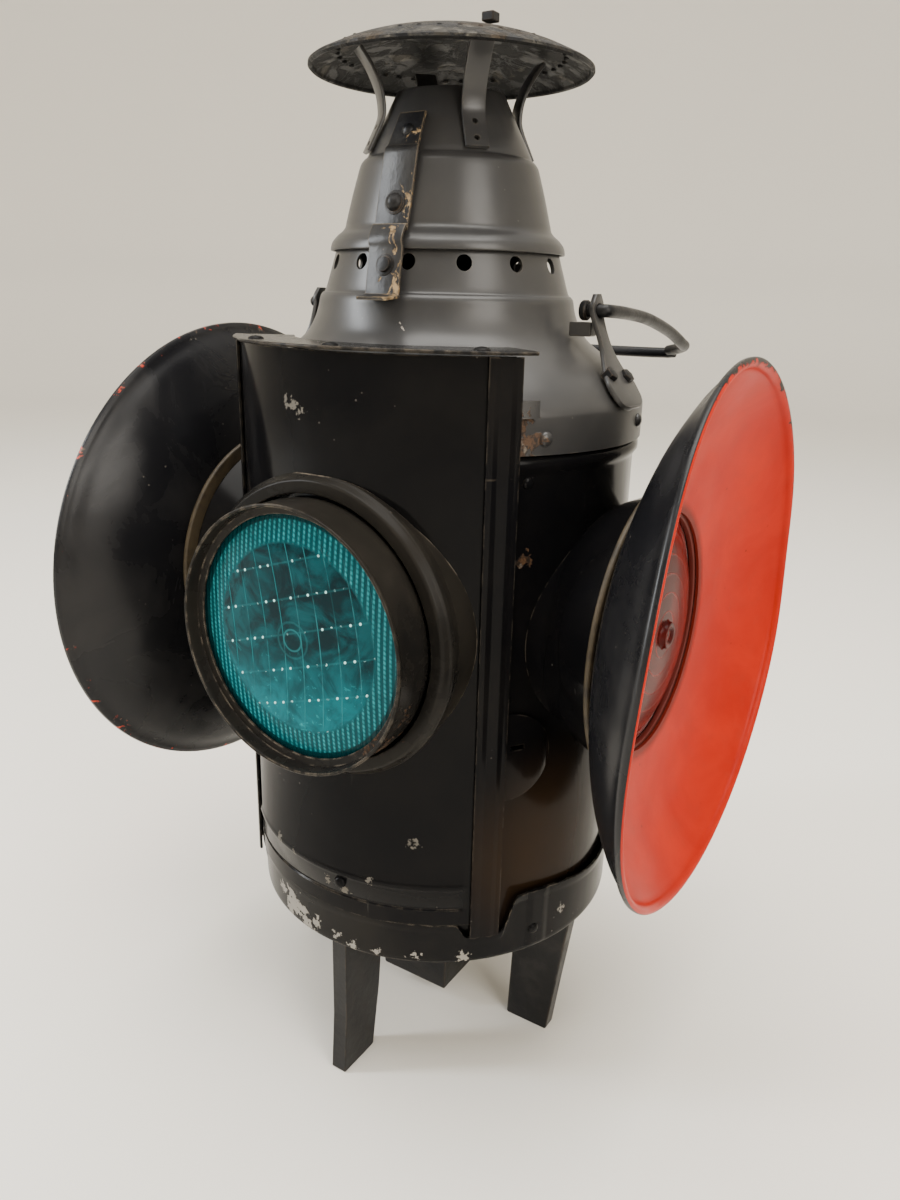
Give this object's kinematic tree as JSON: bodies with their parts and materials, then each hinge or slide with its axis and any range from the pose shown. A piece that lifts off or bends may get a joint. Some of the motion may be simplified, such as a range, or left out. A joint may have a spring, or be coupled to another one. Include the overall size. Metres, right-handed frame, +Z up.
{
  "type": "railway switch lantern",
  "caption": "Round sheet-steel railway switch lamp with coloured lenses, dished day targets, a sliding door, a hinged chimney lid, a bail and legs.",
  "frame": {"origin": "on the ground under the lamp's upright axis, at the feet of the legs", "axes": "+Z up the lamp's axis, -Y out through the sliding door and its green lens, +X and -X out through the two red day targets"},
  "size_m": [0.2712, 0.2366, 0.4634],
  "materials": {
    "black_enamel": "gloss, worn",
    "dusty_black_enamel": "semi-gloss, dusty",
    "cap_paint": "flaking, matt",
    "red_enamel": "gloss, chipped rim",
    "worn_paint": "worn through to bare steel",
    "black_iron": "painted, rust at the edges",
    "red_glass": "gloss",
    "green_glass": "fluted, gloss",
    "brass": "tarnished",
    "tinned_steel": "dull",
    "cotton": "woven"
  },
  "bodies": {
    "lantern": {"body_shell": "black_enamel", "base_pan": "black_enamel", "spindle_socket": "black_iron", "leg_front": "black_iron", "leg_right": "black_iron", "leg_rear": "black_iron", "leg_left": "black_iron", "door_channel_right": "black_enamel", "door_channel_left": "black_enamel", "dome": "dusty_black_enamel", "vent_collar": "dusty_black_enamel", "ear_right": "black_enamel", "ear_left": "black_enamel", "ear_brace_right": "black_enamel", "ear_brace_left": "black_enamel", "peep_cover": "black_enamel", "lens_holder_right": "black_enamel", "lens_holder_left": "black_enamel", "lens_right": "red_glass", "lens_left": "red_glass", "clamp_ring_right": "brass", "clamp_ring_left": "brass", "target_right": "red_enamel", "target_left": "red_enamel", "lens_collar_rear": "black_enamel", "lens_rear": "green_glass", "lens_hood_rear": "black_enamel", "clamp_screw_rear": "black_iron", "clamp_nut_rear": "black_iron", "hinge_base": "black_enamel", "hinge_pin": "black_iron", "fount_seat": "black_enamel", "oil_fount": "tinned_steel", "filler_cap": "brass", "burner": "brass"},
    "door": {"door_panel": "black_enamel", "door_flange": "black_enamel", "lens_collar_front": "black_enamel", "lens_front": "green_glass", "lens_hood_front": "black_enamel", "clamp_screw_front": "black_iron", "clamp_nut_front": "black_iron"},
    "chimney_lid": {"chimney": "dusty_black_enamel", "cap": "cap_paint", "cap_bolt": "black_iron", "cap_strap_1": "black_enamel", "cap_strap_2": "black_enamel", "cap_strap_3": "black_enamel", "cap_strap_4": "black_enamel", "hinge_leaf": "black_enamel"},
    "latch": {"latch_strap": "worn_paint"},
    "bail": {"bail": "black_enamel"},
    "wick_knob": {"wick_knob": "brass"},
    "wick": {"wick": "cotton"}
  },
  "joints": [
    {"name": "door_slide", "type": "slide", "parent": "lantern", "child": "door", "axis": [0, 0, 1], "range_m": [0, 0.13]},
    {"name": "lid_hinge", "type": "hinge", "parent": "lantern", "child": "chimney_lid", "pos_m": [0, 0.0548, 0.3785], "axis": [-1, 0, 0], "range_deg": [0, 100]},
    {"name": "latch_flex", "type": "hinge", "parent": "chimney_lid", "child": "latch", "pos_m": [0, -0.0292, 0.425], "axis": [-1, 0, 0], "range_deg": [0, 8], "stiffness_Nm_per_rad": 0.5},
    {"name": "bail_swing", "type": "hinge", "parent": "lantern", "child": "bail", "pos_m": [0, 0, 0.3557], "axis": [1, 0, 0], "range_deg": [0, 190]},
    {"name": "wick_knob_turn", "type": "hinge", "parent": "lantern", "child": "wick_knob", "pos_m": [0, -0.0043, 0.152], "axis": [1, 0, 0], "range_deg": [-90, 150]},
    {"name": "wick_slide", "type": "slide", "parent": "lantern", "child": "wick", "axis": [0, 0, 1], "range_m": [-0.005, 0.0085]}
  ],
  "couplings": [
    {"joint": "wick_knob_turn", "follows": "wick_slide", "rad_per_m": 303}
  ]
}
